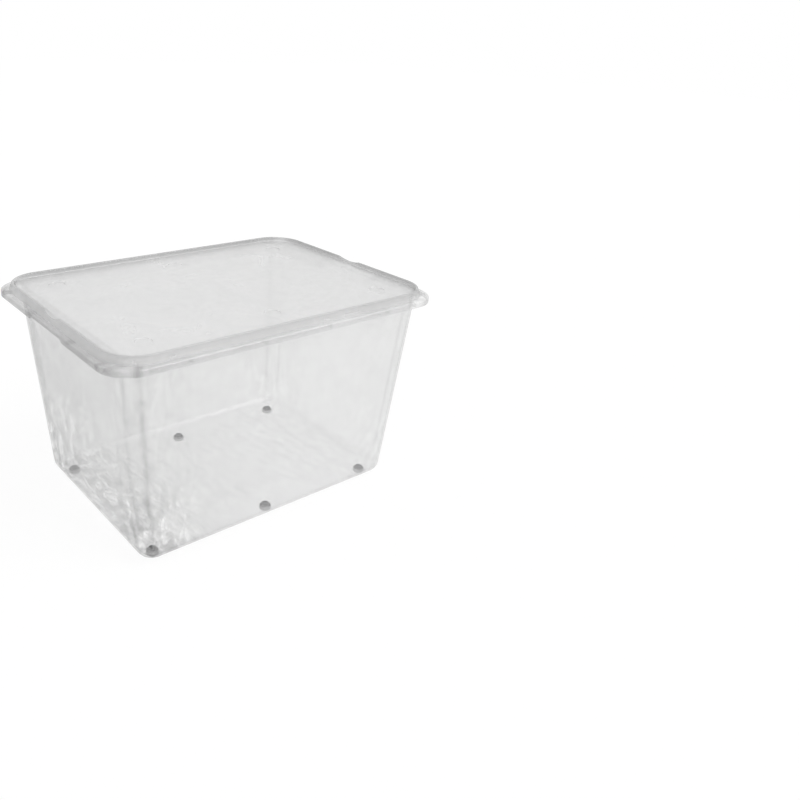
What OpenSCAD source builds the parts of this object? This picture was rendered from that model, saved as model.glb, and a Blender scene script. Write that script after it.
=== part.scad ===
// Clear moulded storage bin for potatoes, with a lift-off ventilating lid.
// Origin: on the floor under the middle of the bin. +X is the long side, +Y is
// the back and +Z is up. The air vents are at the -X end.

/* [Bin] */
// Length over the grip flange
flange_length = 542; // [536:1:580]
// Width over the grip flange
flange_width = 390; // [386:1:420]
// Length of the walls at the mouth, outside
mouth_length = 484; // [472:1:492]
// Width of the walls at the mouth, outside
mouth_width = 364; // [352:1:368]
// Length of the walls at the floor, outside
base_length = 448; // [440:1:470]
// Width of the walls at the floor, outside
base_width = 320; // [314:1:346]
// Height of the flange's top face above the ground
rim_height = 315.5; // [250:0.5:400]
// Thickness of the moulded walls
wall = 2.2; // [1.8:0.1:2.6]
// Radius of the upright corners at the mouth, outside
mouth_corner = 26; // [24:1:30]
// Radius of the upright corners at the floor, outside
base_corner = 24; // [21:1:28]
// Radius of the edge between the floor and the walls, outside
base_edge = 19; // [10:1:20]

/* [Flange] */
// Height of the down-turned lip round the flange
lip_height = 9; // [8:0.5:12]
// Radius of the flange's corners
flange_corner = 44; // [38:1:48]
// Width of the hand-hold cut into the lip at each end
hand_hold_width = 104; // [80:1:110]
// Height of lip that the hand-hold takes away
hand_hold_height = 4.5; // [3:0.5:5]

/* [Lid] */
// Length of the lid at the top of its crest
lid_length = 520; // [510:1:526]
// Width of the lid at the top of its crest
lid_width = 370; // [364:1:374]
// Height of the closed lid above the flange
lid_rise = 11.5; // [10.5:0.5:14]
// Width of the raised crest round the lid
crest_width = 4.4; // [4:0.2:6]
// Radius of the crest's outer corners
crest_corner = 50; // [46:1:56]
// Depth of the sunk panel below the crest
panel_drop = 6; // [4:0.5:7]
// Depth of the ring that plugs the mouth, below the flange's top face
plug_depth = 15; // [13.5:0.5:20]
// Width of the finger notch in the crest at each end
notch_width = 50; // [24:1:60]
// Depth of the finger notch
notch_depth = 4; // [2:0.5:4]

/* [Air vents] */
// Number of slots in the row
vent_count = 11; // [3:2:11]
// Width of a slot
vent_width = 3.6; // [2:0.2:4]
// Height of a slot
vent_height = 7; // [4:0.5:8]
// Distance between the middles of two slots
vent_pitch = 8; // [7:0.5:9]

/* [Feet] */
// Diameter of a foot's pad
foot_diameter = 18; // [14:1:20]
// Height of the pad, which is also the gap under the floor
foot_height = 6; // [4:0.5:8]
// Distance between the left and right rows of feet
foot_spacing_x = 395; // [380:1:396]
// Distance between the front and back rows of feet
foot_spacing_y = 260; // [250:1:262]

/* [Floor ribs] */
// Distance between two ribs
rib_pitch = 20; // [16:1:40]
// Height of a rib above the floor
rib_height = 1.4; // [0.8:0.2:2]
// Width of a rib
rib_width = 3; // [2:0.5:4]
// How far a rib waves to each side
rib_wave = 3; // [0:0.5:4]
// Length of one wave
rib_wavelength = 45; // [30:1:60]

/* [Hidden] */

clear_plastic = [0.84, 0.86, 0.87, 0.45];
soft_grey = [0.23, 0.24, 0.25];

eps = 0.01;            // overlap that keeps joined solids from only touching
corner_steps = 8;      // straight steps round a quarter turn of a corner
edge_steps = 4;        // straight steps round a moulded edge
base_steps = 6;        // the same for the wider edge under the walls
lid_gap = 0.3;         // air between the lid and the flange it rests on
plug_gap = 0.6;        // air between the plug ring and the walls
plug_wall = 1.8;       // thickness of the plug ring
plug_lead = 1;         // taper at the bottom of the plug ring
lip_edge = 2.5;        // radius of the flange's top edge
crest_edge = 1.6;      // radius of the crest's top edges
crest_lean = 1;        // how far the crest's inner face leans in towards the panel
skirt_flare = 4;       // how far the lid's skirt leans out on its way down
mouth_chamfer = 1;     // lead-in at the top of the walls
floor_extra = 0.2;     // how much thicker the floor is than the walls
gusset = 1.8;          // thickness of a rib under the flange
gusset_clear = 1;      // height of the lip left free below the ribs' outer ends
gusset_slope = 10;     // distance over which a rib's lower edge rises by that
corner_gussets = [6, 84]; // directions of the two ribs at each corner
grip_gusset_y = 62;    // place of the two ribs beside each hand-hold
side_gusset_pitch = 110; // distance between the four ribs along a long side
vent_drop = 5;         // distance from the flange's top face down to the slots
foot_neck_d = 8;       // stem of a foot, pushed through the floor
foot_head_d = 12;      // button that keeps the stem in
foot_head_h = 1.8;
foot_edge = 1.2;       // radius round the bottom of the pad
cup_wall = 1.6;        // ring under the floor that a pad sits in
cup_height = 2;
cup_gap = 0.2;
dimple_d = 23;         // dish in the lid for a foot of the bin stacked on it
dimple_depth = 1;
rib_end_y = 112;       // where the floor ribs stop, clear of the feet

base_z = foot_height;
floor_z = base_z + wall + floor_extra;
lip_z = rim_height - lip_height;
skirt_z = rim_height + lid_gap;
lid_top = rim_height + lid_rise;
panel_z = lid_top - panel_drop;
plug_z = rim_height - plug_depth;
vent_top = rim_height - vent_drop;

base_half = [base_length, base_width] / 2;
mouth_half = [mouth_length, mouth_width] / 2;
flange_half = [flange_length, flange_width] / 2;
lid_half = [lid_length, lid_width] / 2;

function mix(a, b, t) = a + (b - a) * t;

// Points of a rounded rectangle at height z, anticlockwise from above.
function outline(half, r, z) = [
    for (corner = [0:3], i = [0:corner_steps])
        let (a = 90 * (corner + i / corner_steps),
             sx = corner == 0 || corner == 3 ? 1 : -1,
             sy = corner < 2 ? 1 : -1)
        [sx * (half.x - r) + r * cos(a), sy * (half.y - r) + r * sin(a), z]];

// Outline of the drafted walls at height z, moved in by inset.
function tub(z, inset = 0) =
    let (t = (z - base_z) / (rim_height - base_z))
    outline(mix(base_half, mouth_half, t) - [inset, inset],
        mix(base_corner, mouth_corner, t) - inset, z);

// Outline of the flange, moved in by inset.
function flange(z, inset = 0) =
    outline(flange_half - [inset, inset], flange_corner - inset, z);

// Outline of the lid's crest, moved in by inset.
function crest(z, inset = 0) =
    outline(lid_half - [inset, inset], crest_corner - inset, z);

// How far the lid's outer face stands out from the crest at height z.
function skirt_out(z) =
    skirt_flare * (lid_top - crest_edge - z) / (lid_top - crest_edge - skirt_z);

// Side triangles between outline j and the next of m, on outlines of n points.
function side_faces(j, n, m) = [
    for (i = [0:n - 1])
        let (a = j * n + i, b = j * n + (i + 1) % n,
             c = ((j + 1) % m) * n + i, d = ((j + 1) % m) * n + (i + 1) % n)
        each [[a, c, b], [b, c, d]]];

// Solid skin through a list of outlines, with a flat end on the first and last.
module loft(outlines) {
    n = len(outlines[0]);
    m = len(outlines);
    polyhedron(
        points = [for (o = outlines) each o],
        faces = concat(
            [[for (i = [0:n - 1]) i]],
            [for (j = [0:m - 2]) each side_faces(j, n, m)],
            [[for (i = [n - 1:-1:0]) (m - 1) * n + i]]),
        convexity = 6);
}

// Ring whose cross-section runs through a closed list of outlines.
module loop_loft(outlines) {
    n = len(outlines[0]);
    m = len(outlines);
    polyhedron(
        points = [for (o = outlines) each o],
        faces = [for (j = [0:m - 1]) each side_faces(j, n, m)],
        convexity = 8);
}

// The moulded shell in one skin: under the floor, up the walls, out along the
// flange, round the lip, back to the mouth and down the inside.
module bin_shell() {
    inner_edge = base_edge - wall;
    loft(concat(
        [for (i = [0:base_steps])
            let (a = 90 * i / base_steps)
            tub(base_z + base_edge * (1 - cos(a)), base_edge * (1 - sin(a)))],
        [tub(rim_height - 2 * wall),
         tub(rim_height - wall, -wall),
         flange(rim_height - wall, wall + 1),
         flange(rim_height - wall - 1, wall),
         flange(lip_z, wall),
         flange(lip_z)],
        [for (i = [0:edge_steps])
            let (a = 90 * i / edge_steps)
            flange(rim_height - lip_edge * (1 - sin(a)), lip_edge * (1 - cos(a)))],
        [tub(rim_height, wall - mouth_chamfer),
         tub(rim_height - mouth_chamfer, wall)],
        [for (i = [base_steps:-1:0])
            let (a = 90 * i / base_steps)
            tub(floor_z + inner_edge * (1 - cos(a)), wall + inner_edge * (1 - sin(a)))]));
}

// Upright rib under the flange, drawn along +X from the wall at x = from. It
// runs past the lip, where flange_gussets() trims it.
module flange_gusset(from) {
    top = rim_height - wall / 2;
    low = lip_z + gusset_clear;
    far = from + flange_corner + mouth_corner + flange_half.x - mouth_half.x;
    rotate([90, 0, 0])
        linear_extrude(gusset, center = true)
            polygon([[from, top], [from, lip_z], [from + gusset_slope, low],
                [far, low], [far, top]]);
}

module flange_gussets() {
    deep = wall / 2;
    end_wall = mouth_half.x - deep - 1;
    side_wall = mouth_half.y - deep - 1;
    wall_turn = mouth_half - [1, 1] * mouth_corner;
    intersection() {
        loft([flange(lip_z - 1, deep), flange(rim_height, deep)]);
        union() {
            for (side = [0, 180])
                rotate(side) {
                    for (y = [-1, 1] * grip_gusset_y)
                        translate([0, y, 0]) flange_gusset(end_wall);
                    for (x = [-1.5, -0.5, 0.5, 1.5] * side_gusset_pitch)
                        translate([x, 0, 0]) rotate(90) flange_gusset(side_wall);
                }
            // At the corners they point away from the middle of the wall's turn.
            for (sx = [-1, 1], sy = [-1, 1], a = corner_gussets)
                translate([sx * wall_turn.x, sy * wall_turn.y, 0])
                    rotate(atan2(sy * sin(a), sx * cos(a)))
                        flange_gusset(mouth_corner - deep - 1);
        }
    }
}

// Low waved rib across the floor, which keeps what is stored off the damp.
module floor_rib() {
    step = rib_wavelength / 6;
    n = floor(rib_end_y / step);
    function wave(i) = rib_wave * cos(360 * i * step / rib_wavelength);
    linear_extrude(rib_height + wall / 2)
        polygon(concat(
            [for (i = [-n:n]) [wave(i) + rib_width / 2, i * step]],
            [for (i = [n:-1:-n]) [wave(i) - rib_width / 2, i * step]]));
}

module floor_ribs() {
    reach = base_half.x - base_edge - rib_wave - rib_width - rib_pitch / 2;
    n = floor(reach / rib_pitch - 0.5);
    for (i = [-n - 1:n])
        translate([(i + 0.5) * rib_pitch, 0, floor_z - wall / 2]) floor_rib();
}

// Puts its children at each of the six feet.
module at_feet() {
    for (x = [-1, 0, 1] * foot_spacing_x / 2, y = [-1, 1] * foot_spacing_y / 2)
        translate([x, y, 0]) children();
}

// Ring under the floor that a foot's pad is pushed into.
module foot_cup() {
    bore = foot_diameter + 2 * cup_gap;
    translate([0, 0, base_z - cup_height])
        difference() {
            cylinder(h = cup_height + wall / 2, d = bore + 2 * cup_wall, $fn = 48);
            translate([0, 0, -eps]) cylinder(h = cup_height + eps, d = bore, $fn = 48);
        }
}

// Cutter for the row of air slots, through whatever lies at the -X end.
module vent_slots() {
    for (i = [0:vent_count - 1])
        translate([0, (i - (vent_count - 1) / 2) * vent_pitch, vent_top - vent_height])
            translate([-mouth_half.x - wall, -vent_width / 2, 0])
                cube([4 * wall, vent_width, vent_height]);
}

// Cutter for the hand-hold in the lip, with rounded upper corners.
module hand_hold() {
    r = hand_hold_height - 1;
    w = hand_hold_width / 2;
    translate([flange_half.x - 2 * wall, 0, lip_z])
        rotate([90, 0, 90])
            linear_extrude(3 * wall)
                union() {
                    translate([-w, -1]) square([2 * w, hand_hold_height - r + 1]);
                    translate([r - w, 0]) square([2 * (w - r), hand_hold_height]);
                    for (s = [-1, 1])
                        translate([s * (w - r), hand_hold_height - r]) circle(r, $fn = 48);
                }
}

module bin_body() {
    color(clear_plastic)
        difference() {
            union() {
                bin_shell();
                flange_gussets();
                floor_ribs();
                at_feet() foot_cup();
            }
            vent_slots();
            for (side = [0, 180]) rotate(side) hand_hold();
            at_feet()
                translate([0, 0, base_z - 1])
                    cylinder(h = 3 * wall, d = foot_neck_d, $fn = 48);
        }
}

// The lid's outside as a solid: skirt, crest and sunk panel.
module lid_envelope() {
    crown = [for (i = [0:edge_steps]) 90 * i / edge_steps];
    loft(concat(
        [crest(skirt_z, -skirt_flare)],
        [for (a = crown)
            crest(lid_top - crest_edge * (1 - sin(a)), crest_edge * (1 - cos(a)))],
        [for (a = crown)
            crest(lid_top - crest_edge * (1 - cos(a)),
                crest_width - crest_edge * (1 - sin(a)))],
        [crest(panel_z, crest_width + crest_lean)]));
}

// The shallow hollow under the panel, open towards the flange.
module lid_hollow() {
    roof_z = panel_z - wall;
    loft([
        crest(skirt_z - 1, wall - skirt_out(skirt_z - 1)),
        crest(roof_z - 1, wall - skirt_out(roof_z - 1)),
        crest(roof_z, wall + 1 - skirt_out(roof_z))]);
}

// Round bars across both ends, whose lower side is the finger notch.
module finger_notches() {
    r = (pow(notch_width / 2, 2) + pow(notch_depth, 2)) / (2 * notch_depth);
    for (side = [0, 180])
        rotate(side)
            translate([lid_half.x - crest_width - 5, 0, lid_top - notch_depth + r])
                rotate([0, 90, 0]) cylinder(h = crest_width + 10, r = r, $fn = 96);
}

// The ring that plugs the mouth, hanging from the panel.
module plug_ring() {
    top_z = panel_z - wall / 2;
    out = wall + plug_gap;
    loop_loft([
        tub(plug_z, out + plug_lead),
        tub(plug_z + 1.5 * plug_lead, out),
        tub(top_z, out),
        tub(top_z, out + plug_wall),
        tub(plug_z, out + plug_wall)]);
}

module lid() {
    color(clear_plastic)
        difference() {
            union() {
                difference() {
                    lid_envelope();
                    lid_hollow();
                }
                difference() {
                    plug_ring();
                    vent_slots();
                }
                at_feet()
                    translate([0, 0, panel_z - wall - dimple_depth])
                        cylinder(h = wall, d = dimple_d + 2 * wall, $fn = 48);
            }
            finger_notches();
            at_feet()
                translate([0, 0, panel_z - dimple_depth])
                    cylinder(h = wall, d = dimple_d, $fn = 48);
        }
}

// Push-in foot: rounded pad, neck through the floor and a button inside.
module foot(column, row) {
    r = foot_diameter / 2;
    head_z = floor_z + foot_head_h;
    translate([column * foot_spacing_x / 2, row * foot_spacing_y / 2, 0])
        color(soft_grey)
            rotate_extrude($fn = 48)
                union() {
                    difference() {
                        square([r, base_z]);
                        translate([r - foot_edge, 0]) square([foot_edge, foot_edge]);
                    }
                    translate([r - foot_edge, foot_edge]) circle(foot_edge, $fn = 32);
                    translate([0, base_z - 1]) square([foot_neck_d / 2, floor_z - base_z + 2]);
                    polygon([[0, floor_z], [foot_head_d / 2, floor_z],
                        [foot_head_d / 2, floor_z + foot_head_h / 2],
                        [foot_head_d / 2 - 1.5, head_z], [0, head_z]]);
                }
}

module foot_front_left() { foot(-1, -1); }
module foot_front_middle() { foot(0, -1); }
module foot_front_right() { foot(1, -1); }
module foot_back_left() { foot(-1, 1); }
module foot_back_middle() { foot(0, 1); }
module foot_back_right() { foot(1, 1); }

bin_body();
lid();
foot_front_left();
foot_front_middle();
foot_front_right();
foot_back_left();
foot_back_middle();
foot_back_right();
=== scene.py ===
"""Looks of the clear potato storage bin: finer meshes, materials, light and camera."""
import math

import bmesh
import bpy
from mathutils import Matrix, Vector


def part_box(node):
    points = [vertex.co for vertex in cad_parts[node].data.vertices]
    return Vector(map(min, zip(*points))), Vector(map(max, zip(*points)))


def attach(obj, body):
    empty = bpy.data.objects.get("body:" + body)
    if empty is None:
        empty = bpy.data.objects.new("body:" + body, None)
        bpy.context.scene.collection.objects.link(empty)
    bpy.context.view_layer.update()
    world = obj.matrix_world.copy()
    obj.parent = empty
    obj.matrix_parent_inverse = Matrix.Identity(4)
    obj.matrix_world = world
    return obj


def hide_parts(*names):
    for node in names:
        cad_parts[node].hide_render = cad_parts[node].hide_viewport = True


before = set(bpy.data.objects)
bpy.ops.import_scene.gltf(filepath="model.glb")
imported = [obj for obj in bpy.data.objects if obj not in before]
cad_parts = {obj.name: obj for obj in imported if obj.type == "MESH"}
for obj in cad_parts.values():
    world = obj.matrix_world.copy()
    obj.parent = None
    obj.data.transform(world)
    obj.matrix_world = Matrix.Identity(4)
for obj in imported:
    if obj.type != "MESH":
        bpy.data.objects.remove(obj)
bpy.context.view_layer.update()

MM = 0.001

# ---------------------------------------------------------------- sizes, in mm
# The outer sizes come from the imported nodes. The rest repeat the CAD source.
bin_low, bin_high = (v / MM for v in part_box("bin_body"))
lid_low, lid_high = (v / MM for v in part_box("lid"))
foot_low, foot_high = (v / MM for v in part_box("foot_back_right"))

WALL = 2.2
FLOOR_EXTRA = 0.2
MOUTH = Vector((242.0, 182.0))      # half sizes of the walls at the flange
BASE = Vector((224.0, 160.0))       # half sizes of the walls at the floor
MOUTH_CORNER = 26.0
BASE_CORNER = 24.0
BASE_EDGE = 19.0
FLANGE = Vector((bin_high.x, bin_high.y))
FLANGE_CORNER = 44.0
LIP_HEIGHT = 9.0
LIP_EDGE = 2.5
LIP_FOOT = 0.8                      # radius of the lip's lower edge
MOUTH_CHAMFER = 1.0
HAND_HOLD = 104.0
HAND_HOLD_HEIGHT = 4.5
HAND_HOLD_CORNER = 3.5
SKIRT_FLARE = 4.0
CREST = Vector((lid_high.x - SKIRT_FLARE, lid_high.y - SKIRT_FLARE))
CREST_WIDTH = 4.4
CREST_CORNER = 50.0
CREST_EDGE = 1.6
CREST_LEAN = 1.0
PANEL_DROP = 6.0
PANEL_FILLET = 0.8
SKIRT_INSIDE = 0.1                  # how far the skirt stays inside the CAD lid
SKIRT_BREAK = 0.4
PLUG_GAP = 0.6
PLUG_WALL = 1.8
PLUG_LEAD = 1.0                     # how far the ring's foot draws in, and over what height
PLUG_LEAD_HEIGHT = 1.5
NOTCH_WIDTH = 50.0
NOTCH_DEPTH = 4.0
VENTS = 11
VENT_WIDTH = 3.6
VENT_HEIGHT = 7.0
VENT_PITCH = 8.0
VENT_DROP = 5.0
FOOT_X = foot_low.x + (foot_high.x - foot_low.x) / 2
FOOT_Y = foot_low.y + (foot_high.y - foot_low.y) / 2
FOOT_R = (foot_high.x - foot_low.x) / 2
FOOT_EDGE = 1.2
GRIP_RINGS = (2.8, 5.6)             # radii of the grooves in a foot's underside
GRIP_WIDTH = 0.4
GRIP_DEPTH = 0.35
NECK_R = 4.0
HEAD_R = 6.0
CUP_GAP = 0.2
CUP_WALL = 1.6
CUP_HEIGHT = 2.0
CUP_EDGE = 0.4
CUP_MOUTH_EDGE = 0.3
DIMPLE_R = 11.5
DIMPLE_DEPTH = 1.0
DIMPLE_EDGE = 0.8
BOSS_EDGE = 0.6
GUSSET = 1.8
GUSSET_CLEAR = 1.0
GUSSET_SLOPE = 10.0
CORNER_GUSSETS = (6.0, 84.0)        # degrees round each corner
GRIP_GUSSET_Y = 62.0
SIDE_GUSSET_PITCH = 110.0
RIB_PITCH = 20.0
RIB_HEIGHT = 1.4
RIB_WIDTH = 3.0
RIB_WAVE = 3.0
RIB_WAVELENGTH = 45.0
RIB_END = 112.0
RIB_ROOT = 0.6                      # how deep a rib reaches into the floor
FILLET = 1.0
ARC_MIDDLE = 0.3                    # where a quarter arc's middle lies, in radii from its corner

BASE_Z = bin_low.z + CUP_HEIGHT
FLOOR_Z = BASE_Z + WALL + FLOOR_EXTRA
RIM_Z = bin_high.z
LIP_Z = RIM_Z - LIP_HEIGHT
LID_TOP = lid_high.z
PANEL_Z = LID_TOP - PANEL_DROP
SKIRT_Z = RIM_Z + 0.3
PLUG_Z = lid_low.z
VENT_TOP = RIM_Z - VENT_DROP

CORNER_STEPS = 20
EDGE_STEPS = 6
RIB_STATIONS = 90
RIB_SECTION = 8

# -------------------------------------------------------------- looks, in mm and shares
PAINTED_SHADE_GREY = 0.20                    # grey of the painted shade, at grazing edges and in the greyer zones
EDGE_POWER = 4.5                    # the higher, the closer to grazing they have to be
LEVEL_EDGE = 0.35                   # the part of that grey that level plates get
CORNER_BANDS = ((-3.5, 5.0), (24.0, 7.0))   # places along a corner's turn, and half widths, of its painted refraction bands
# The streaks below are painted: light and shade from refraction, drawn into the plastic's haze.
STREAK_SPREAD = (20.0, 80.0)        # distances from a corner over which its streaks fade
STREAK_HEIGHTS = (60.0, 140.0)      # heights over which they fade
HIGH_STREAKS = 0.2                  # strength of the streaks above that
MIDDLE_WAVES = 0.15                 # strength of the floor's streaks in its middle
FAR_STREAKS = 0.15                  # strength of all streaks away from the vents
HAZE_LIMITS = (0.01, 0.95)


# ------------------------------------------------------------------- mesh code
def outline(half, r, z):
    """Points of a rounded rectangle at height z, anticlockwise from above."""
    points = []
    for corner, (sx, sy) in enumerate(((1, 1), (-1, 1), (-1, -1), (1, -1))):
        for i in range(CORNER_STEPS + 1):
            a = math.radians(90) * (corner + i / CORNER_STEPS)
            points.append((sx * (half.x - r) + r * math.cos(a),
                           sy * (half.y - r) + r * math.sin(a), z))
    return points


def tub(z, inset=0.0):
    """The walls' outline at height z, moved in by inset."""
    t = (z - BASE_Z) / (RIM_Z - BASE_Z)
    half = BASE.lerp(MOUTH, t) - Vector((inset, inset))
    return outline(half, BASE_CORNER + (MOUTH_CORNER - BASE_CORNER) * t - inset, z)


def flange(z, inset=0.0):
    return outline(FLANGE - Vector((inset, inset)), FLANGE_CORNER - inset, z)


def crest(z, inset=0.0):
    return outline(CREST - Vector((inset, inset)), CREST_CORNER - inset, z)


def skirt_out(z):
    """How far the lid's outer face stands out from the crest at height z."""
    top = LID_TOP - CREST_EDGE
    return SKIRT_FLARE * (top - z) / (top - SKIRT_Z)


def quarter(steps=EDGE_STEPS):
    """(sine, cosine) along a quarter turn."""
    turns = [math.radians(90) * i / steps for i in range(steps + 1)]
    return [(math.sin(a), math.cos(a)) for a in turns]


def new_object(name, points, faces):
    """Mesh object from points in mm, with its faces turned outwards."""
    mesh = bpy.data.meshes.new(name)
    mesh.from_pydata([Vector(p) * MM for p in points], [], faces)
    bm = bmesh.new()
    bm.from_mesh(mesh)
    bmesh.ops.recalc_face_normals(bm, faces=bm.faces)
    bm.to_mesh(mesh)
    bm.free()
    obj = bpy.data.objects.new(name, mesh)
    bpy.context.scene.collection.objects.link(obj)
    return obj


def loft(name, outlines, ring=False):
    """Skin through outlines: closed by flat ends, or round on itself as a ring."""
    n, m = len(outlines[0]), len(outlines)
    points = [p for o in outlines for p in o]
    faces = []
    for j in range(m if ring else m - 1):
        k = (j + 1) % m
        for i in range(n):
            h = (i + 1) % n
            faces.append((j * n + i, j * n + h, k * n + h, k * n + i))
    if not ring:
        faces.append(tuple(range(n - 1, -1, -1)))
        faces.append(tuple((m - 1) * n + i for i in range(n)))
    return new_object(name, points, faces)


def prism(name, front, back):
    """Solid between two outlines with the same number of points."""
    n = len(front)
    faces = [tuple(range(n)), tuple(range(2 * n - 1, n - 1, -1))]
    faces += [(i, (i + 1) % n, n + (i + 1) % n, n + i) for i in range(n)]
    return new_object(name, front + back, faces)


def box(name, low, high):
    x, y, z = zip(low, high)
    points = [(a, b, c) for a in x for b in y for c in z]
    faces = [(0, 1, 3, 2), (4, 6, 7, 5), (0, 4, 5, 1), (2, 3, 7, 6), (0, 2, 6, 4), (1, 5, 7, 3)]
    return new_object(name, points, faces)


def lathe(name, profile, centre=(0, 0, 0), steps=48, axis="Z"):
    """Solid of revolution from (radius, height) points that start and end on the axis."""
    points, rings = [], []
    for r, z in profile:
        if r == 0:
            rings.append([len(points)])
            points.append((0, 0, z))
        else:
            rings.append([len(points) + i for i in range(steps)])
            for i in range(steps):
                a = math.tau * i / steps
                points.append((r * math.cos(a), r * math.sin(a), z))
    faces = []
    for lower, upper in zip(rings, rings[1:]):
        for i in range(steps):
            quad = [lower[i % len(lower)], lower[(i + 1) % steps % len(lower)],
                    upper[(i + 1) % steps % len(upper)], upper[i % len(upper)]]
            face = list(dict.fromkeys(quad))
            if len(face) > 2:
                faces.append(face)
    if axis == "X":
        points = [(z, x, y) for x, y, z in points]
    return new_object(name, [Vector(p) + Vector(centre) for p in points], faces)


def boolean(obj, others, operation):
    """Adds or cuts the other objects, applies it and removes them."""
    for other in others:
        modifier = obj.modifiers.new("cut", "BOOLEAN")
        modifier.operation = operation
        modifier.solver = "EXACT"
        modifier.object = other
    depsgraph = bpy.context.evaluated_depsgraph_get()
    made = bpy.data.meshes.new_from_object(obj.evaluated_get(depsgraph))
    obj.modifiers.clear()
    obj.data = made
    for other in others:
        bpy.data.objects.remove(other)
    return obj


def join(name, objects):
    """One object of several meshes that don't meet."""
    bm = bmesh.new()
    for obj in objects:
        bm.from_mesh(obj.data)
        bpy.data.objects.remove(obj)
    mesh = bpy.data.meshes.new(name)
    bm.to_mesh(mesh)
    bm.free()
    obj = bpy.data.objects.new(name, mesh)
    bpy.context.scene.collection.objects.link(obj)
    return obj


def finish_mesh(obj, material, angle=35):
    """Smooth shading that keeps flat faces flat and sharp edges sharp."""
    weld = 0.002 * MM
    mesh = obj.data
    mesh.name = obj.name
    mesh.materials.clear()
    mesh.materials.append(material)
    bm = bmesh.new()
    bm.from_mesh(mesh)
    bmesh.ops.remove_doubles(bm, verts=bm.verts, dist=weld)
    bmesh.ops.dissolve_degenerate(bm, edges=bm.edges, dist=weld)
    for face in bm.faces:
        face.smooth = True
        face.material_index = 0
    for edge in bm.edges:
        edge.smooth = edge.calc_face_angle(math.pi) < math.radians(angle)
    bm.to_mesh(mesh)
    bm.free()
    weighted = obj.modifiers.new("weighted", "WEIGHTED_NORMAL")
    weighted.mode = "FACE_AREA"
    weighted.keep_sharp = True


# ---------------------------------------------------------------- shader nodes
def new_material(name):
    material = bpy.data.materials.new(name)
    material.use_nodes = True
    tree = material.node_tree
    tree.nodes.clear()
    return material, tree


def node(tree, kind, inputs=None, **settings):
    """New node. Its inputs are sockets to link or values to set."""
    made = tree.nodes.new(kind)
    for key, value in settings.items():
        setattr(made, key, value)
    for key, value in (inputs or {}).items():
        if isinstance(value, bpy.types.NodeSocket):
            tree.links.new(value, made.inputs[key])
        else:
            made.inputs[key].default_value = value
    return made


def surface(tree, shader):
    """Makes a shader the material's surface, or the world's."""
    output = "ShaderNodeOutputMaterial"
    if shader.bl_idname == "ShaderNodeBackground":
        output = "ShaderNodeOutputWorld"
    node(tree, output, {"Surface": shader.outputs[0]})


def maths(tree, operation, a, b=0.0):
    return node(tree, "ShaderNodeMath", {0: a, 1: b}, operation=operation).outputs[0]


def add_scaled(tree, base, value, scale):
    """base + value * scale."""
    made = node(tree, "ShaderNodeMath", {0: value, 1: scale, 2: base}, operation="MULTIPLY_ADD")
    return made.outputs[0]


def vector_maths(tree, operation, a, b=(0, 0, 0)):
    return node(tree, "ShaderNodeVectorMath", {0: a, 1: b}, operation=operation).outputs[0]


def length(tree, vector):
    made = node(tree, "ShaderNodeVectorMath", {0: vector}, operation="LENGTH")
    return made.outputs["Value"]


def ranged(tree, value, low, high, from_low=0.0, from_high=1.0):
    """value's range from_low to from_high spread over low to high, and held there beyond it."""
    made = node(tree, "ShaderNodeMapRange",
                {"Value": value, "From Min": from_low, "From Max": from_high,
                 "To Min": low, "To Max": high})
    return made.outputs[0]


def rise(tree, value, start, end):
    """Zero up to start and one from end on, both in mm."""
    return ranged(tree, value, 0.0, 1.0, start * MM, end * MM)


def fall(tree, value, start, end):
    """One up to start and zero from end on, both in mm."""
    return ranged(tree, value, 1.0, 0.0, start * MM, end * MM)


def bump_at(tree, value, centre, width):
    """One where value is at centre, falling to zero over width on both sides, in mm."""
    away = maths(tree, "ABSOLUTE", maths(tree, "SUBTRACT", value, centre * MM))
    made = node(tree, "ShaderNodeMapRange",
                {"Value": away, "From Min": 0.0, "From Max": width * MM,
                 "To Min": 1.0, "To Max": 0.0}, interpolation_type="SMOOTHSTEP")
    return made.outputs[0]


def place(tree):
    """The object's own coordinates, in metres."""
    return node(tree, "ShaderNodeTexCoord").outputs["Object"]


def split(tree, vector):
    return node(tree, "ShaderNodeSeparateXYZ", {0: vector}).outputs


def height_of(tree):
    return split(tree, place(tree))["Z"]


def noise(tree, scale, detail, stretch=(1, 1, 1), distortion=0.0):
    """Noise in the object's own coordinates, about 0.5."""
    mapping = node(tree, "ShaderNodeMapping", {"Vector": place(tree), "Scale": stretch})
    made = node(tree, "ShaderNodeTexNoise",
                {"Vector": mapping.outputs[0], "Scale": scale, "Detail": detail,
                 "Distortion": distortion})
    return made.outputs["Fac"]


def blend_colours(tree, factor, first, second):
    made = node(tree, "ShaderNodeMix", data_type="RGBA", clamp_factor=True)
    tree.links.new(factor, made.inputs["Factor"])
    made.inputs["A"].default_value = (*first, 1)
    made.inputs["B"].default_value = (*second, 1)
    return made.outputs["Result"]


def blend_shaders(tree, factor, first, second):
    return node(tree, "ShaderNodeMixShader", {0: factor, 1: first.outputs[0], 2: second.outputs[0]})


# ---------------------------------------------------- places in the bin's plastic
def past_turn(tree):
    """How far |x| and |y| lie beyond the middle of the walls' turn, and the height."""
    spot = place(tree)
    height = split(tree, spot)["Z"]
    low = BASE - Vector((BASE_CORNER, BASE_CORNER))
    high = MOUTH - Vector((MOUTH_CORNER, MOUTH_CORNER))
    sides = split(tree, vector_maths(tree, "ABSOLUTE", spot))
    x, y = [maths(tree, "SUBTRACT", sides[i],
                  ranged(tree, height, low[i] * MM, high[i] * MM, BASE_Z * MM, RIM_Z * MM))
            for i in (0, 1)]
    return x, y, height


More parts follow.
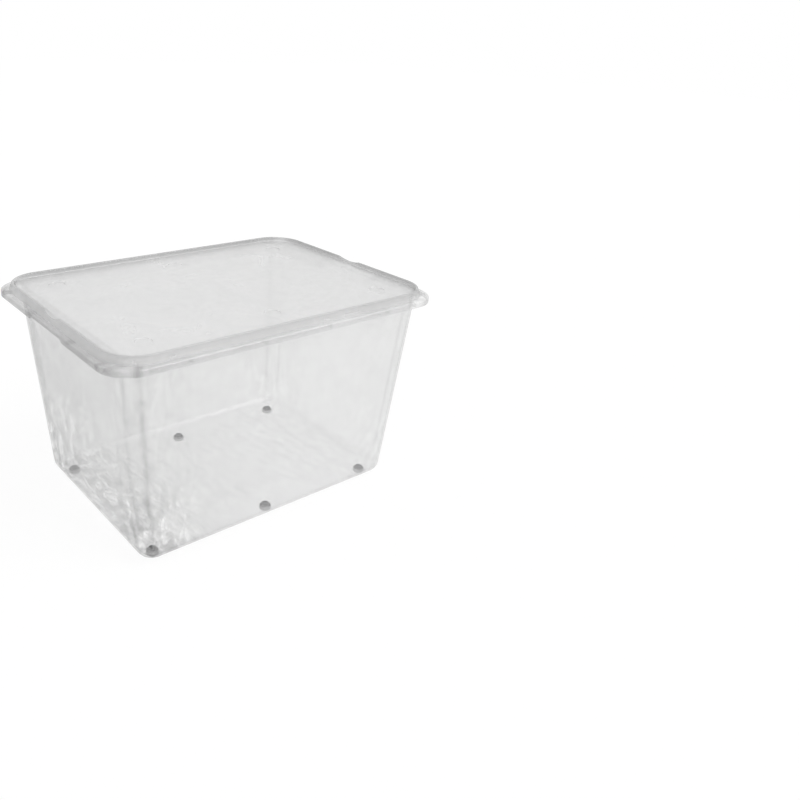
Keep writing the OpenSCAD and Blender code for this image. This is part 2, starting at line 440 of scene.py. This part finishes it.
# As a zone this paints the flange and lip greyer: painted shade on the bin's rim.
def lip_zone(tree):
    """One in the grip flange and its lip, outside the walls."""
    x, y, _ = past_turn(tree)
    out = node(tree, "ShaderNodeCombineXYZ", {"X": maths(tree, "MAXIMUM", x),
                                              "Y": maths(tree, "MAXIMUM", y)})
    return rise(tree, length(tree, out.outputs[0]), MOUTH_CORNER + 1.5, MOUTH_CORNER + 3)


# As a zone this paints the lip's ends greyer still: painted shade.
def lip_ends(tree):
    """One in the lip at both ends of the flange."""
    out = split(tree, vector_maths(tree, "ABSOLUTE", place(tree)))["X"]
    end = rise(tree, out, MOUTH.x + 10, FLANGE.x - 4)
    return maths(tree, "MULTIPLY", end, lip_zone(tree))


def round_corner(tree):
    """Distance along the walls, from where the end wall starts to turn, and the height."""
    x, y, height = past_turn(tree)
    angle = maths(tree, "ARCTAN2", maths(tree, "MAXIMUM", y), maths(tree, "MAXIMUM", x))
    arc = maths(tree, "MULTIPLY", angle, BASE_CORNER * MM)
    flat = maths(tree, "SUBTRACT", maths(tree, "MINIMUM", y), maths(tree, "MINIMUM", x))
    return maths(tree, "ADD", arc, flat), height


def painted_corner_bands(tree):
    """Two upright bands by the ends of each corner's turn, painted greyer for the shade that
    refraction makes in the round corners.
    """
    along, height = round_corner(tree)
    bands = [bump_at(tree, along, at, width) for at, width in CORNER_BANDS]
    walls = rise(tree, height, BASE_Z + BASE_EDGE, BASE_Z + 3 * BASE_EDGE)
    return maths(tree, "MULTIPLY", maths(tree, "MAXIMUM", *bands), walls)


def wall_refraction_streaks(tree, low, high):
    """Painted wavy streaks of refracted light and shade in the walls by the corners, strongest low
    down.

    They stand where a noise runs from low to high.
    """
    streaks = noise(tree, 70, 1.5, (1, 1, 0.33), distortion=1.2)
    x, y, height = past_turn(tree)
    inward = maths(tree, "MULTIPLY", maths(tree, "MINIMUM", x, y), -1.0)
    near = fall(tree, inward, *STREAK_SPREAD)
    down = ranged(tree, height, 1.0, HIGH_STREAKS, *(z * MM for z in STREAK_HEIGHTS))
    strength = maths(tree, "MULTIPLY", near, down)
    return maths(tree, "MULTIPLY", strength, ranged(tree, streaks, 0.0, 1.0, low, high))


def floor_refraction_streaks(tree, low, high):
    """Painted wavy streaks of refracted light and shade in the floor along its ribs, strongest
    towards the ends.
    """
    streaks = noise(tree, 85, 1.5, (1, 0.3, 1), distortion=1.5)
    out = split(tree, vector_maths(tree, "ABSOLUTE", place(tree)))["X"]
    strength = ranged(tree, out, MIDDLE_WAVES, 1.0, 0.3 * BASE.x * MM, 0.8 * BASE.x * MM)
    strength = maths(tree, "MULTIPLY", strength, floor_zone(tree))
    return maths(tree, "MULTIPLY", strength, ranged(tree, streaks, 0.0, 1.0, low, high))


def refraction_streaks_of(tree, walls, floor):
    """Painted refraction streaks of walls and floor, weaker away from the end with the vents."""
    both = maths(tree, "MAXIMUM", wall_refraction_streaks(tree, *walls), floor_refraction_streaks(tree, *floor))
    return maths(tree, "MULTIPLY", both, ranged(tree, vent_end(tree), FAR_STREAKS, 1.0))


# Painted bright streaks: clearer plastic along them, where refraction gives light.
def painted_bright_streaks(tree):
    return refraction_streaks_of(tree, (0.53, 0.61), (0.53, 0.60))


# Painted streaks of shade: milkier and greyer plastic along them, where refraction gives shade.
def painted_shade_streaks(tree):
    return refraction_streaks_of(tree, (0.47, 0.39), (0.47, 0.40))


# As a zone of the bin's plastic this paints the vent end milkier and greyer: painted shade.
def vent_end(tree):
    """One at the end with the vents, falling to zero past the middle."""
    return fall(tree, split(tree, place(tree))["X"], -MOUTH.x, 0.2 * MOUTH.x)


# As a zone this paints the floor milkier and greyer: painted shade low in the bin.
def floor_zone(tree):
    """One in the floor, falling to zero up its round edge."""
    return fall(tree, height_of(tree), FLOOR_Z + 2, FLOOR_Z + 16)


def foot_spots(tree):
    """One where a foot touches the floor, which leaves it clear."""
    spot = vector_maths(tree, "ABSOLUTE", place(tree))
    spots = []
    for x in (0, FOOT_X):
        away = vector_maths(tree, "SUBTRACT", spot, (x * MM, FOOT_Y * MM, 0))
        away = vector_maths(tree, "MULTIPLY", away, (1, 1, 0))
        spots.append(fall(tree, length(tree, away), FOOT_R, FOOT_R + CUP_WALL))
    return maths(tree, "MAXIMUM", *spots)


# ---------------------------------------------------- places in the lid's plastic
# As a zone this paints the crest greyer: painted shade along the lid's rim.
def crest_zone(tree):
    """One in the lid's raised crest."""
    return rise(tree, height_of(tree), PANEL_Z + 0.3, PANEL_Z + 1.5)


def skirt_zone(tree):
    """One in the lid's skirt and crest, outside its panel."""
    turn = (CREST - Vector((CREST_CORNER, CREST_CORNER))) * MM
    spot = vector_maths(tree, "ABSOLUTE", place(tree))
    spot = vector_maths(tree, "SUBTRACT", spot, (turn.x, turn.y, 0))
    spot = vector_maths(tree, "MAXIMUM", spot)
    spot = vector_maths(tree, "MULTIPLY", spot, (1, 1, 0))
    edge = CREST_CORNER - CREST_WIDTH - CREST_LEAN
    return rise(tree, length(tree, spot), edge - 1, edge)


def painted_far_rim_shade(tree):
    """One in the lid's crest and skirt along the back and the end without vents, where painted
    shade makes the rim greyer.
    """
    spot = split(tree, place(tree))
    sides = [rise(tree, spot[i], CREST[i] - 14, CREST[i] - 4) for i in (0, 1)]
    return maths(tree, "MULTIPLY", maths(tree, "MAXIMUM", *sides), skirt_zone(tree))


def plug_zone(tree):
    """One in the thin ring under the lid's panel."""
    return fall(tree, height_of(tree), SKIRT_Z - 1, SKIRT_Z + 1)


# ------------------------------------------------------------------- materials
def moulded_normal(tree, wavy):
    """Normals of a moulded skin: slow waves of strength wavy under a fine grain."""
    waves = noise(tree, 22, 2, (1, 1, 0.35), distortion=0.6)
    grain = noise(tree, 900, 2)
    bump = node(tree, "ShaderNodeBump", {"Height": waves, "Strength": wavy, "Distance": 0.0025})
    bump = node(tree, "ShaderNodeBump",
                {"Height": grain, "Strength": 0.02, "Distance": 0.0002, "Normal": bump.outputs[0]})
    return bump.outputs[0]


def painted_edge_shade(tree, facing, upright):
    """Strength of the painted shade at grazing edges, standing in for the grey that refraction
    gives clear plastic there. Level plates stay even and get little of it.
    """
    level = ranged(tree, maths(tree, "ABSOLUTE", upright), 1.0, LEVEL_EDGE)
    return maths(tree, "MULTIPLY", maths(tree, "POWER", facing, EDGE_POWER), level)


def milk(tree, shade, normal, upright):
    """The haze itself. In a level plate it is lit from above, on whichever side that is."""
    front = node(tree, "ShaderNodeBsdfDiffuse", {"Color": shade, "Normal": normal})
    through = node(tree, "ShaderNodeBsdfTranslucent", {"Color": shade, "Normal": normal})
    return blend_shaders(tree, ranged(tree, upright, 1.0, 0.0, -1.0, 1.0), front, through)


def clear_plastic(name, haze, tone, wavy, edge_share, zones):
    """Moulded clear plastic: a faint milky haze, painted shade at the edges, and a glossy skin.

    haze and edge_share are how much of the light the haze takes, face on and at an edge. tone is
    the haze's own grey. zones lists (mask, share, darkness): how much milkier a place is, and how
    much painted shade turns it greyer.
    """
    material, tree = new_material(name)
    normal = moulded_normal(tree, wavy)
    facing = node(tree, "ShaderNodeLayerWeight", {"Blend": 0.5}).outputs["Facing"]
    upright = split(tree, node(tree, "ShaderNodeTexCoord").outputs["Normal"])["Z"]
    cloud = noise(tree, 14, 3, distortion=1.0)
    painted_shade = painted_edge_shade(tree, facing, upright)
    share = ranged(tree, cloud, haze * 0.85, haze * 1.15, 0.3, 0.7)
    share = add_scaled(tree, share, painted_shade, edge_share)
    for zone, more, darkness in zones:
        mask = zone(tree)
        share = add_scaled(tree, share, mask, more)
        painted_shade = add_scaled(tree, painted_shade, mask, darkness)
    share = ranged(tree, share, *HAZE_LIMITS, *HAZE_LIMITS)
    # Painted shade: the haze turns greyer at grazing edges and in the zones.
    shade = blend_colours(tree, painted_shade, (tone,) * 3, (PAINTED_SHADE_GREY,) * 3)
    clear = node(tree, "ShaderNodeBsdfTransparent", {"Color": (0.992, 0.992, 0.992, 1)})
    film = blend_shaders(tree, share, clear, milk(tree, shade, normal, upright))
    gloss = node(tree, "ShaderNodeBsdfGlossy",
                 {"Color": (1, 1, 1, 1), "Normal": normal,
                  "Roughness": ranged(tree, cloud, 0.08, 0.16)})
    # The mirror share follows Facing, which is the same from both sides of a wall.
    mirror = ranged(tree, maths(tree, "POWER", facing, 5.0), 0.035, 0.35)
    surface(tree, blend_shaders(tree, mirror, film, gloss))
    return material


def soft_rubber():
    """Soft grey rubber of the feet, dull and a little dusty."""
    material, tree = new_material("soft_grey")
    grain = noise(tree, 2600, 2)
    smudge = noise(tree, 160, 3)
    bump = node(tree, "ShaderNodeBump", {"Height": grain, "Strength": 0.2, "Distance": 0.0002})
    colour = blend_colours(tree, smudge, (0.040, 0.042, 0.044), (0.065, 0.067, 0.069))
    shader = node(tree, "ShaderNodeBsdfPrincipled",
                  {"Base Color": colour, "Normal": bump.outputs[0],
                   "Roughness": ranged(tree, smudge, 0.5, 0.75)})
    surface(tree, shader)
    return material


# --------------------------------------------------------------- the bin's pieces
def vent_cutter():
    """The row of air slots at the -X end, as one cutter."""
    slots = []
    for i in range(VENTS):
        y = (i - (VENTS - 1) / 2) * VENT_PITCH
        slots.append(box("slot", (-MOUTH.x - WALL, y - VENT_WIDTH / 2, VENT_TOP - VENT_HEIGHT),
                         (-MOUTH.x + 3 * WALL, y + VENT_WIDTH / 2, VENT_TOP)))
    return join("vent_cutter", slots)


def hand_hold_cutter(side):
    """Notch in the lip, with rounded upper corners."""
    r, w = HAND_HOLD_CORNER, HAND_HOLD / 2
    arch = [(-w, LIP_Z - 1), (w, LIP_Z - 1)]
    for s, c in quarter():
        arch.append((w - r + r * c, LIP_Z + HAND_HOLD_HEIGHT - r + r * s))
    for s, c in reversed(quarter()):
        arch.append((r - w - r * c, LIP_Z + HAND_HOLD_HEIGHT - r + r * s))
    near, far = side * (FLANGE.x - 2 * WALL), side * (FLANGE.x + WALL)
    return prism("hand_hold", [(near, y, z) for y, z in arch], [(far, y, z) for y, z in arch])


def flange_reach(start, way, inset):
    """Distance from start along way to the flange's outline, moved in by inset."""
    half, r = FLANGE - Vector((inset, inset)), FLANGE_CORNER - inset
    sides = [(math.copysign(half[i], way[i]) - start[i]) / way[i]
             for i in (0, 1) if abs(way[i]) > 1e-6]
    far = min(sides)
    end = start + way * far
    if abs(end.x) > half.x - r and abs(end.y) > half.y - r:
        centre = Vector((math.copysign(half.x - r, end.x), math.copysign(half.y - r, end.y)))
        along = (centre - start).dot(way)
        aside = (centre - start - way * along).length
        far = along + math.sqrt(r * r - aside * aside)
    return far


def gusset_places():
    """(start, direction, distance to the wall) of every rib under the flange."""
    inside = WALL / 2 + 1
    places = []
    for s in (-1, 1):
        for y in (-GRIP_GUSSET_Y, GRIP_GUSSET_Y):
            places.append((Vector((0, y)), Vector((s, 0)), MOUTH.x - inside))
        for x in (-1.5, -0.5, 0.5, 1.5):
            places.append((Vector((x * SIDE_GUSSET_PITCH, 0)), Vector((0, s)), MOUTH.y - inside))
    turn = MOUTH - Vector((MOUTH_CORNER, MOUTH_CORNER))
    for sx in (-1, 1):
        for sy in (-1, 1):
            for degrees in CORNER_GUSSETS:
                c, s = math.cos(math.radians(degrees)), math.sin(math.radians(degrees))
                places.append((Vector((sx * turn.x, sy * turn.y)), Vector((sx * c, sy * s)),
                               MOUTH_CORNER - inside))
    return places


def gussets():
    """Upright ribs between the walls and the lip."""
    top, low = RIM_Z - WALL / 2, LIP_Z + GUSSET_CLEAR
    made = []
    for start, way, near in gusset_places():
        far = flange_reach(start, way, WALL / 2)
        profile = [(near, top), (near, LIP_Z), (min(near + GUSSET_SLOPE, far - 0.5), low),
                   (far, low), (far, top)]
        faces = []
        for hand in (-1, 1):
            side = start + Vector((-way.y, way.x)) * GUSSET / 2 * hand
            spots = [(side + way * along, z) for along, z in profile]
            faces.append([(p.x, p.y, z) for p, z in spots])
        made.append(prism("gusset", *faces))
    return join("gussets", made)


def floor_rib(x0):
    """One low waved rib with a round back, about x0."""
    half = RIB_WIDTH / 2
    points, faces = [], []
    for i in range(RIB_STATIONS + 1):
        y = -RIB_END + 2 * RIB_END * i / RIB_STATIONS
        x = x0 + RIB_WAVE * math.cos(math.tau * y / RIB_WAVELENGTH)
        end = min(1.0, (RIB_END - abs(y)) / RIB_WIDTH)
        full = math.sqrt(max(0.02, 1 - (1 - end) ** 2))
        points.append((x - full * half, y, FLOOR_Z - RIB_ROOT))
        for j in range(RIB_SECTION + 1):
            a = math.pi * (1 - j / RIB_SECTION)
            points.append((x + full * half * math.cos(a), y,
                           FLOOR_Z + full * RIB_HEIGHT * math.sin(a)))
        points.append((x + full * half, y, FLOOR_Z - RIB_ROOT))
    n = RIB_SECTION + 3
    for i in range(RIB_STATIONS):
        for j in range(n):
            h = (j + 1) % n
            faces.append((i * n + j, i * n + h, (i + 1) * n + h, (i + 1) * n + j))
    faces.append(tuple(range(n)))
    faces.append(tuple(range((RIB_STATIONS + 1) * n - 1, RIB_STATIONS * n - 1, -1)))
    return new_object("rib", points, faces)


def floor_ribs():
    """Waved ribs side by side across the floor."""
    reach = BASE.x - BASE_EDGE - RIB_WAVE - RIB_WIDTH - RIB_PITCH / 2
    count = math.floor(reach / RIB_PITCH - 0.5)
    return join("ribs", [floor_rib((k + 0.5) * RIB_PITCH) for k in range(-count - 1, count + 1)])


def at_feet():
    return [(x * FOOT_X, y * FOOT_Y) for x in (-1, 0, 1) for y in (-1, 1)]


def foot_cups():
    """Short cups under the floor that hold the feet's rims."""
    bore = FOOT_R + CUP_GAP
    low, out = BASE_Z - CUP_HEIGHT, bore + CUP_WALL
    profile = [(0, BASE_Z + 1), (out, BASE_Z + 1), (out, low + CUP_EDGE), (out - CUP_EDGE, low),
               (bore + CUP_MOUTH_EDGE, low), (bore, low + CUP_MOUTH_EDGE), (bore, BASE_Z),
               (0, BASE_Z)]
    return join("cups", [lathe("cup", profile, (x, y, 0)) for x, y in at_feet()])


def neck_cutters():
    """Holes through the floor for the feet's necks."""
    profile = [(0, BASE_Z - 1), (NECK_R, BASE_Z - 1), (NECK_R, FLOOR_Z + 3), (0, FLOOR_Z + 3)]
    return join("necks", [lathe("neck", profile, (x, y, 0)) for x, y in at_feet()])


def bin_outlines():
    """The shell's outlines: up its outside, over the flange and down its inside."""
    inner = BASE_EDGE - WALL
    middle = ARC_MIDDLE * FILLET
    rows = [tub(BASE_Z + BASE_EDGE * (1 - c), BASE_EDGE * (1 - s)) for s, c in quarter()]
    rows += [tub(RIM_Z - 2 * WALL), tub(RIM_Z - 1.4 * WALL, -middle), tub(RIM_Z - WALL, -WALL)]
    rows += [flange(RIM_Z - WALL, WALL + FILLET), flange(RIM_Z - WALL - middle, WALL + middle),
             flange(RIM_Z - WALL - FILLET, WALL)]
    rows += [flange(LIP_Z + LIP_FOOT * (1 - s), WALL - LIP_FOOT * (1 - c)) for s, c in quarter(3)]
    rows += [flange(LIP_Z + LIP_FOOT * (1 - c), LIP_FOOT * (1 - s)) for s, c in quarter(3)]
    rows += [flange(RIM_Z - LIP_EDGE * (1 - s), LIP_EDGE * (1 - c)) for s, c in quarter()]
    middle = ARC_MIDDLE * MOUTH_CHAMFER
    rows += [tub(RIM_Z, WALL - MOUTH_CHAMFER), tub(RIM_Z - middle, WALL - middle),
             tub(RIM_Z - MOUTH_CHAMFER, WALL)]
    rows += [tub(FLOOR_Z + inner * (1 - c), WALL + inner * (1 - s))
             for s, c in reversed(quarter())]
    return rows


def bin_moulding(material):
    shell = loft("bin_moulding", bin_outlines())
    boolean(shell, [gussets(), floor_ribs(), foot_cups()], "UNION")
    cutters = [vent_cutter(), hand_hold_cutter(-1), hand_hold_cutter(1), neck_cutters()]
    boolean(shell, cutters, "DIFFERENCE")
    finish_mesh(shell, material)
    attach(shell, "bin")
    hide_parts("bin_body")


def foot_plug(node_name, material):
    """Push-in foot: domed pad with grip rings, neck and button."""
    low, high = (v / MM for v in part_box(node_name))
    x, y = (low.x + high.x) / 2, (low.y + high.y) / 2
    profile = [(0, 0.0)]
    for r in GRIP_RINGS:
        profile += [(r - 1.5 * GRIP_WIDTH, 0.0), (r - GRIP_WIDTH / 2, GRIP_DEPTH),
                    (r + GRIP_WIDTH / 2, GRIP_DEPTH), (r + 1.5 * GRIP_WIDTH, 0.0)]
    profile += [(FOOT_R - FOOT_EDGE + FOOT_EDGE * s, FOOT_EDGE * (1 - c)) for s, c in quarter(4)]
    profile += [(FOOT_R, BASE_Z - 0.5), (FOOT_R - 0.3, BASE_Z - 0.1), (FOOT_R - 0.6, BASE_Z),
                (NECK_R, BASE_Z), (NECK_R, FLOOR_Z), (HEAD_R, FLOOR_Z), (HEAD_R, FLOOR_Z + 0.6),
                (HEAD_R - 0.4, FLOOR_Z + 1.2), (HEAD_R - 1.5, high.z - 0.1), (HEAD_R - 2.5, high.z),
                (0, high.z)]
    obj = lathe(node_name + "_plug", profile, (x, y, 0), 64)
    finish_mesh(obj, material, 40)
    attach(obj, "bin")
    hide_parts(node_name)


# --------------------------------------------------------------- the lid's pieces
def notch_bars():
    """Round bars across both ends of the lid, as one cutter for the finger notches."""
    r = ((NOTCH_WIDTH / 2) ** 2 + NOTCH_DEPTH ** 2) / (2 * NOTCH_DEPTH)
    bars = []
    for side in (-1, 1):
        near, far = side * (CREST.x - CREST_WIDTH - 5), side * (CREST.x + 5)
        bars.append(lathe("bar", [(0, near), (r, near), (r, far), (0, far)],
                          (0, 0, LID_TOP - NOTCH_DEPTH + r), 240, "X"))
    return join("notches", bars)


def lid_plate():
    """The lid's panel, crest and skirt as one block, still solid underneath."""
    foot = SKIRT_Z + SKIRT_BREAK
    edge = CREST_WIDTH + CREST_LEAN
    rows = [crest(SKIRT_Z, SKIRT_INSIDE + SKIRT_BREAK - SKIRT_FLARE),
            crest(foot, SKIRT_INSIDE - skirt_out(foot))]
    rows += [crest(LID_TOP - CREST_EDGE * (1 - s), CREST_EDGE * (1 - c)) for s, c in quarter()]
    rows += [crest(LID_TOP - CREST_EDGE * (1 - c), CREST_WIDTH - CREST_EDGE * (1 - s))
             for s, c in quarter()]
    rows += [crest(PANEL_Z + PANEL_FILLET, edge - 0.1),
             crest(PANEL_Z + PANEL_FILLET / 4, edge + PANEL_FILLET / 4),
             crest(PANEL_Z, edge + PANEL_FILLET)]
    return loft("lid_moulding", rows)


def lid_hollow():
    """What the lid leaves free under its panel, inside its skirt."""
    roof = PANEL_Z - WALL
    middle = ARC_MIDDLE * FILLET
    rows = [(SKIRT_Z - 1, 0.0), (roof - FILLET, 0.0), (roof - middle, middle), (roof, FILLET)]
    return loft("hollow", [crest(z, WALL + inset - skirt_out(z)) for z, inset in rows])


def plug_ring():
    """The ring that reaches into the bin's mouth, with its own row of slots."""
    top, out = PANEL_Z - WALL / 2, WALL + PLUG_GAP
    ring = loft("ring", [
        tub(PLUG_Z, out + PLUG_LEAD), tub(PLUG_Z + PLUG_LEAD_HEIGHT / 3, out + 0.35 * PLUG_LEAD),
        tub(PLUG_Z + PLUG_LEAD_HEIGHT, out), tub(top, out),
        tub(top, out + PLUG_WALL), tub(PLUG_Z, out + PLUG_WALL)], ring=True)
    return boolean(ring, [vent_cutter()], "DIFFERENCE")


def dimple_bosses():
    """Round pads under the panel that keep its thickness below the dishes."""
    low, out = PANEL_Z - WALL - DIMPLE_DEPTH, DIMPLE_R + WALL
    profile = [(0, low), (out - BOSS_EDGE, low), (out, low + BOSS_EDGE), (out, low + WALL),
               (0, low + WALL)]
    return join("bosses", [lathe("boss", profile, (x, y, 0)) for x, y in at_feet()])


def dimple_cutters():
    """Dishes in the panel for the feet of a bin stacked on it."""
    low = PANEL_Z - DIMPLE_DEPTH
    profile = [(0, low), (DIMPLE_R - DIMPLE_EDGE, low), (DIMPLE_R, low + DIMPLE_EDGE),
               (DIMPLE_R + 0.4, low + 2), (0, low + 2)]
    return join("dishes", [lathe("dish", profile, (x, y, 0)) for x, y in at_feet()])


def lid_moulding(material):
    lid = lid_plate()
    boolean(lid, [lid_hollow()], "DIFFERENCE")
    boolean(lid, [plug_ring(), dimple_bosses()], "UNION")
    boolean(lid, [notch_bars(), dimple_cutters()], "DIFFERENCE")
    finish_mesh(lid, material)
    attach(lid, "lid")
    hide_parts("lid")


# ------------------------------------------------------------- camera and light
def photo_camera():
    """The camera fitted to the photograph's lid edges and feet, for an 800 px frame."""
    azimuth, elevation, roll = math.radians(-38.93), math.radians(26.39), math.radians(2.69)
    target = Vector((0.0834, -0.0564, 0.1338))
    distance = 1.2139
    focal_px, centre_px, image_px = 755.4, 282.0, 800.0
    back = Vector((math.sin(azimuth) * math.cos(elevation),
                   -math.cos(azimuth) * math.cos(elevation), math.sin(elevation)))
    camera = bpy.data.cameras.new("camera")
    camera.sensor_width = 36.0
    camera.lens = camera.sensor_width * focal_px / image_px
    camera.shift_x = (image_px / 2 - centre_px) / image_px
    camera.clip_start = 0.01
    obj = bpy.data.objects.new("camera", camera)
    turn = (-back).to_track_quat("-Z", "Y").to_matrix() @ Matrix.Rotation(roll, 3, "Z")
    obj.matrix_world = Matrix.Translation(target + back * distance) @ turn.to_4x4()
    bpy.context.scene.collection.objects.link(obj)
    bpy.context.scene.camera = obj


def soft_sun(name, toward, angle, strength):
    """Sun lamp shining from a direction, soft enough for a studio shadow."""
    light = bpy.data.lights.new(name, "SUN")
    light.angle = math.radians(angle)
    light.energy = strength
    obj = bpy.data.objects.new(name, light)
    obj.rotation_mode = "QUATERNION"
    obj.rotation_quaternion = Vector(toward).to_track_quat("Z", "Y")
    bpy.context.scene.collection.objects.link(obj)


def seen_directly(tree):
    """One for rays from the eye, also by way of a gloss or a clear wall."""
    path = node(tree, "ShaderNodeLightPath")
    seen = maths(tree, "MAXIMUM", path.outputs["Is Camera Ray"], path.outputs["Is Glossy Ray"])
    return maths(tree, "MAXIMUM", seen, path.outputs["Is Transmission Ray"])


def white_world():
    """Surroundings that look white to the eye and light the object more softly."""
    world = bpy.data.worlds.new("world")
    bpy.context.scene.world = world
    world.use_nodes = True
    tree = world.node_tree
    tree.nodes.clear()
    strength = ranged(tree, seen_directly(tree), 0.70, 1.0)
    back = node(tree, "ShaderNodeBackground", {"Color": (1, 1, 1, 1), "Strength": strength})
    surface(tree, back)


def white_ground(reach=12.0):
    """Floor that is white to the eye but keeps a faint shadow, reach metres to each side."""
    material, tree = new_material("ground")
    diffuse = node(tree, "ShaderNodeBsdfDiffuse", {"Color": (0.85, 0.85, 0.85, 1)})
    white = node(tree, "ShaderNodeEmission", {"Color": (1, 1, 1, 1), "Strength": 1.02})
    surface(tree, blend_shaders(tree, ranged(tree, seen_directly(tree), 0.0, 0.9), diffuse, white))
    half = reach / MM
    corners = ((-half, -half, 0), (half, -half, 0), (half, half, 0), (-half, half, 0))
    floor = new_object("floor", corners, [(0, 1, 2, 3)])
    floor.data.materials.append(material)


def studio():
    """White ground and surroundings for the eye, with plain soft light on the object."""
    scene = bpy.context.scene
    scene.view_settings.view_transform = "Standard"
    scene.cycles.transparent_max_bounces = 64
    white_world()
    soft_sun("key", (0.6, -0.8, 1.0), 40, 1.4)
    white_ground()


photo_camera()
studio()
# In both plastics each zone's darkness is painted shade, and the clearer streaks are painted light.
bin_plastic = clear_plastic(
    "clear_plastic_bin", haze=0.18, tone=0.90, wavy=0.3, edge_share=0.2,
    zones=[(floor_zone, 0.06, 0.15), (foot_spots, -0.25, 0), (vent_end, 0.035, 0.14),
           (painted_corner_bands, 0.06, 0.33), (painted_bright_streaks, -0.26, 0), (painted_shade_streaks, 0.15, 0.45),
           (lip_zone, 0.05, 0.17), (lip_ends, 0.10, 0.25)])
lid_plastic = clear_plastic(
    "clear_plastic_lid", haze=0.36, tone=0.715, wavy=0.0, edge_share=0.7,
    zones=[(crest_zone, 0.10, 0.27), (plug_zone, -0.30, 0), (painted_far_rim_shade, 0.12, 0.30)])
rubber = soft_rubber()
bin_moulding(bin_plastic)
lid_moulding(lid_plastic)
for foot_name in sorted(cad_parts):
    if foot_name.startswith("foot_"):
        foot_plug(foot_name, rubber)
